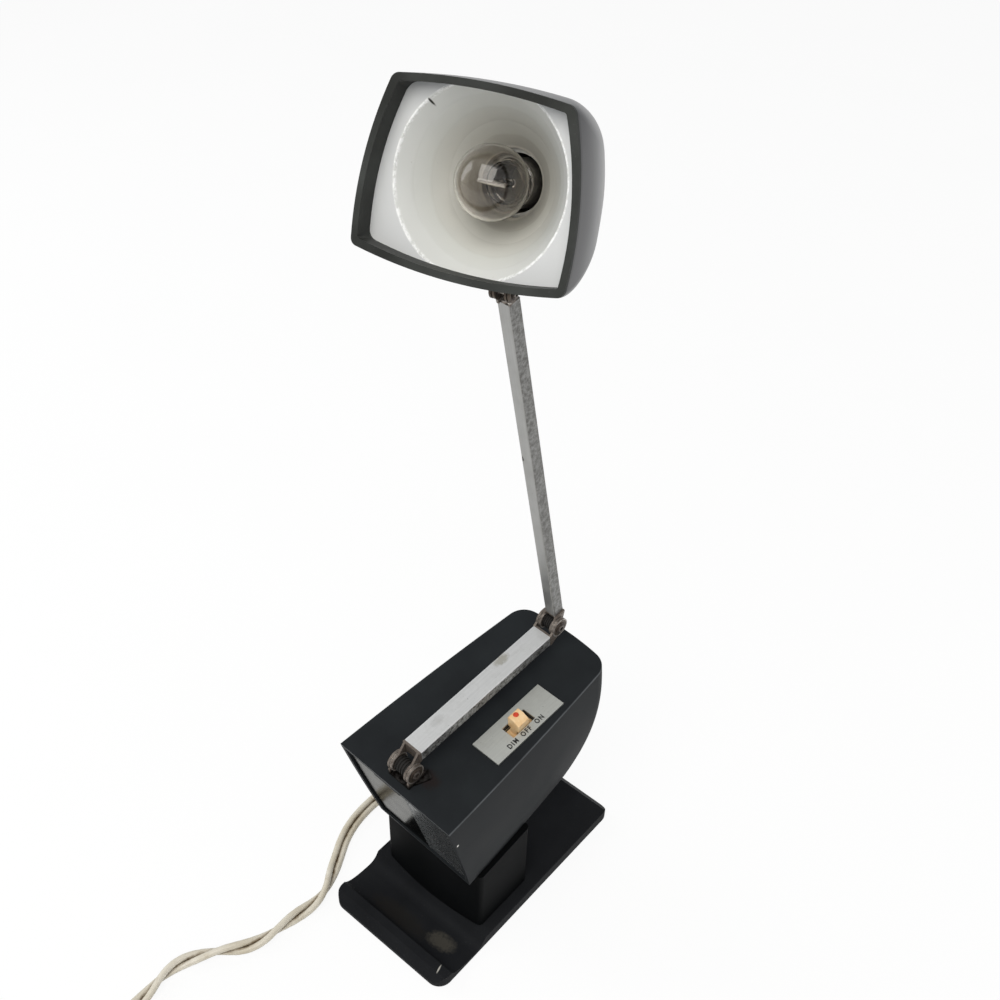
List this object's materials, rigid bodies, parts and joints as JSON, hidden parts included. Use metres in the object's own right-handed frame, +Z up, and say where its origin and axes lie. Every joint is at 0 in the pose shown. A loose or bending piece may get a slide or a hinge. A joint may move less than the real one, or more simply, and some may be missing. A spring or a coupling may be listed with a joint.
{
  "type": "folding desk lamp",
  "caption": "Folding desk lamp with a boxy head on thin jointed arms, a tapered transformer housing and a base with a pen trough.",
  "frame": {"origin": "centre of the underside of the base", "axes": "+Z up, -Y towards the front with the pen trough, +X towards the side with the switch"},
  "size_m": [0.106, 0.2991, 0.3777],
  "materials": {
    "base_plastic": "worn satin",
    "housing_plastic": "worn satin",
    "head_plastic": "satin",
    "bezel_plastic": "satin",
    "slider_plastic": "aged cream",
    "cast_iron": "rough",
    "felt": "felt",
    "zinc_steel": "zinc plated",
    "worn_steel": "plating worn to rust",
    "fibre": "pressed fibre",
    "bright_plate": "bright, scratched",
    "switch_legend": "printed, satin",
    "red_paint": "gloss",
    "core_iron": "laminated",
    "winding_tape": "varnished tape",
    "arm_metal": "satin, stained",
    "lead_cover": "matt",
    "reflector_metal": "satin spun",
    "glass": "clear",
    "brass": "bare",
    "filament_metal": "dark",
    "cord_plastic": "aged ivory"
  },
  "bodies": {
    "base": {"base_moulding": "base_plastic", "ballast_plate": "cast_iron", "felt_pad": "felt", "base_screws": "zinc_steel", "pedestal": "base_plastic", "swivel_tube": "zinc_steel", "swivel_nuts": "zinc_steel", "fibre_washer": "fibre", "swivel_plate": "zinc_steel", "strain_relief": "cord_plastic", "cord_tube": "cord_plastic", "cord_coil": "cord_plastic", "plug_body": "cord_plastic", "plug_blades": "brass"},
    "housing": {"housing_shell": "housing_plastic", "end_plate": "bright_plate", "switch_plate": "switch_legend", "switch_body": "zinc_steel", "transformer_core": "core_iron", "transformer_winding": "winding_tape", "transformer_strap": "zinc_steel", "transformer_screws": "zinc_steel", "pivot_bracket": "worn_steel", "pivot_rivet": "worn_steel", "pivot_washers": "zinc_steel", "pivot_spacer": "fibre"},
    "slider": {"switch_slider": "slider_plastic", "slider_dot": "red_paint"},
    "lower_arm": {"lower_arm_yoke": "worn_steel", "lower_arm_tube": "arm_metal", "lower_arm_leads": "lead_cover", "elbow_ears": "worn_steel", "elbow_rivet": "worn_steel", "elbow_washers": "zinc_steel", "elbow_spacer": "fibre"},
    "upper_arm": {"upper_arm_yoke": "worn_steel", "upper_arm_tube": "arm_metal", "upper_arm_leads": "lead_cover", "head_bush": "fibre"},
    "head_swivel": {"head_swivel_yoke": "worn_steel"},
    "head": {"head_bracket": "worn_steel", "head_rivet": "worn_steel", "head_washers": "zinc_steel", "head_screws": "zinc_steel", "head_shell": "head_plastic", "bezel": "bezel_plastic", "reflector": "reflector_metal", "bulb_glass": "glass", "bulb_cap": "brass", "bulb_stem": "glass", "filament": "filament_metal", "socket_shell": "zinc_steel", "socket_insulator": "fibre", "socket_spring": "zinc_steel", "socket_strap": "zinc_steel"}
  },
  "joints": [
    {"name": "housing_swivel", "type": "hinge", "parent": "base", "child": "housing", "pos_m": [0, -0.0135, 0.047], "axis": [0, -0.0976, 0.9952], "range_deg": [-90, 90]},
    {"name": "switch_slide", "type": "slide", "parent": "housing", "child": "slider", "axis": [0.0436, 0.9943, 0.0975], "range_m": [-0.0032, 0.0032]},
    {"name": "lower_arm_lift", "type": "hinge", "parent": "housing", "child": "lower_arm", "pos_m": [-0.00101, -0.04303, 0.11173], "axis": [0.999, -0.0434, -0.0043], "range_deg": [-4, 95]},
    {"name": "elbow_open", "type": "hinge", "parent": "lower_arm", "child": "upper_arm", "pos_m": [0.00281, 0.04306, 0.12951], "axis": [-0.999, 0.0434, 0.0043], "range_deg": [-82, 95]},
    {"name": "head_turn", "type": "hinge", "parent": "upper_arm", "child": "head_swivel", "pos_m": [0.00201, 0.00708, 0.30876], "axis": [-0.005, -0.2112, 0.9774], "range_deg": [-106, 74]},
    {"name": "head_tilt", "type": "hinge", "parent": "head_swivel", "child": "head", "pos_m": [0.00242, 0.00517, 0.30834], "axis": [0.9792, 0.1975, 0.0477], "range_deg": [-42, 125]}
  ]
}
